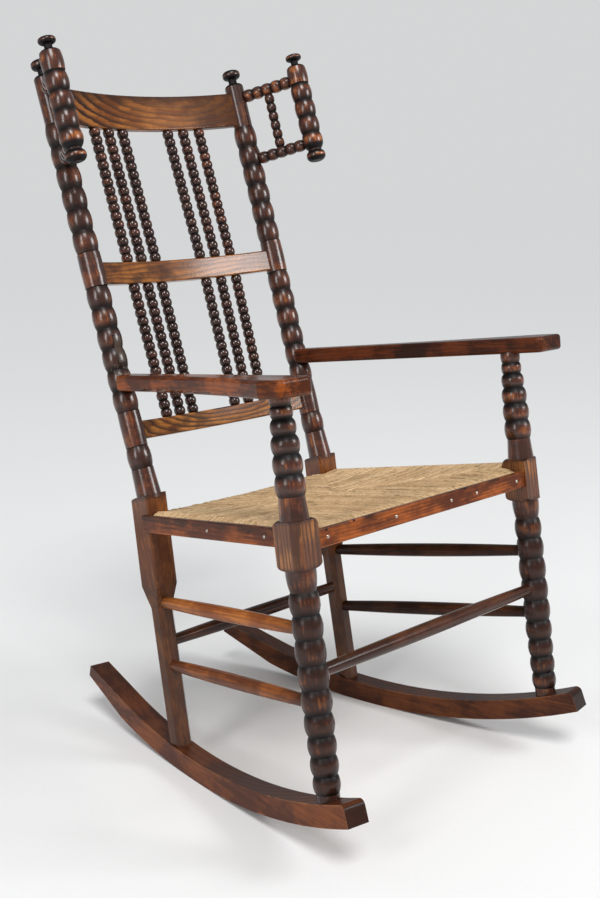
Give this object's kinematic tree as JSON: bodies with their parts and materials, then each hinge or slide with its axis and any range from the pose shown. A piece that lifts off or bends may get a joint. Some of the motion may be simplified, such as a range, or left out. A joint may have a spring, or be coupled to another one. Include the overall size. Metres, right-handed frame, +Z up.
{
  "type": "rocking chair",
  "caption": "Open-arm rocking chair with bobbin-turned posts and spindles, a ladder back with small ear wings, a woven rush seat and curved wooden rockers.",
  "frame": {"origin": "on the floor in the plane of symmetry, midway between the chair's front and back", "axes": "+Z up, -Y the way the sitter faces, +X to the right as seen from the front; the YZ plane is the plane of symmetry"},
  "size_m": [0.6442, 0.7731, 1.1349],
  "materials": {
    "turned_wood": "dark stained and polished, nearly black in the grooves and red-brown on the crowns",
    "red_wood": "red-brown stained and polished, rubbed paler on the edges",
    "rail_wood": "golden brown with bold dark grain, polished",
    "stretcher_wood": "brown stained, worn by shoes",
    "bare_wood": "unfinished, hidden in the rush",
    "nail_steel": "bright round heads",
    "rush": "dry wound rush, straw coloured with darker flecks"
  },
  "bodies": {
    "root": {"front_post_left": "turned_wood", "front_post_right": "turned_wood", "back_post_left": "turned_wood", "back_post_right": "turned_wood", "upper_spindle_1_left": "turned_wood", "upper_spindle_1_right": "turned_wood", "upper_spindle_2_left": "turned_wood", "upper_spindle_2_right": "turned_wood", "upper_spindle_3_left": "turned_wood", "upper_spindle_3_right": "turned_wood", "lower_spindle_1_left": "turned_wood", "lower_spindle_1_right": "turned_wood", "lower_spindle_2_left": "turned_wood", "lower_spindle_2_right": "turned_wood", "lower_spindle_3_left": "turned_wood", "lower_spindle_3_right": "turned_wood", "wing_post_left": "turned_wood", "wing_post_right": "turned_wood", "wing_top_rail_left": "turned_wood", "wing_top_rail_right": "turned_wood", "wing_bottom_rail_left": "turned_wood", "wing_bottom_rail_right": "turned_wood", "wing_spindle_left": "turned_wood", "wing_spindle_right": "turned_wood", "arm_left": "red_wood", "arm_right": "red_wood", "rocker_left": "red_wood", "rocker_right": "red_wood", "facing_strip_front": "red_wood", "facing_strip_left": "red_wood", "facing_strip_right": "red_wood", "crest_rail": "rail_wood", "middle_rail": "rail_wood", "lower_rail": "rail_wood", "upper_side_stretcher_left": "stretcher_wood", "upper_side_stretcher_right": "stretcher_wood", "lower_side_stretcher_left": "stretcher_wood", "lower_side_stretcher_right": "stretcher_wood", "front_stretcher": "stretcher_wood", "back_stretcher": "stretcher_wood", "seat_rung_front": "bare_wood", "seat_rung_back": "bare_wood", "seat_rung_side_left": "bare_wood", "seat_rung_side_right": "bare_wood", "strip_nails": "nail_steel", "rush_seat": "rush"}
  },
  "joints": []
}
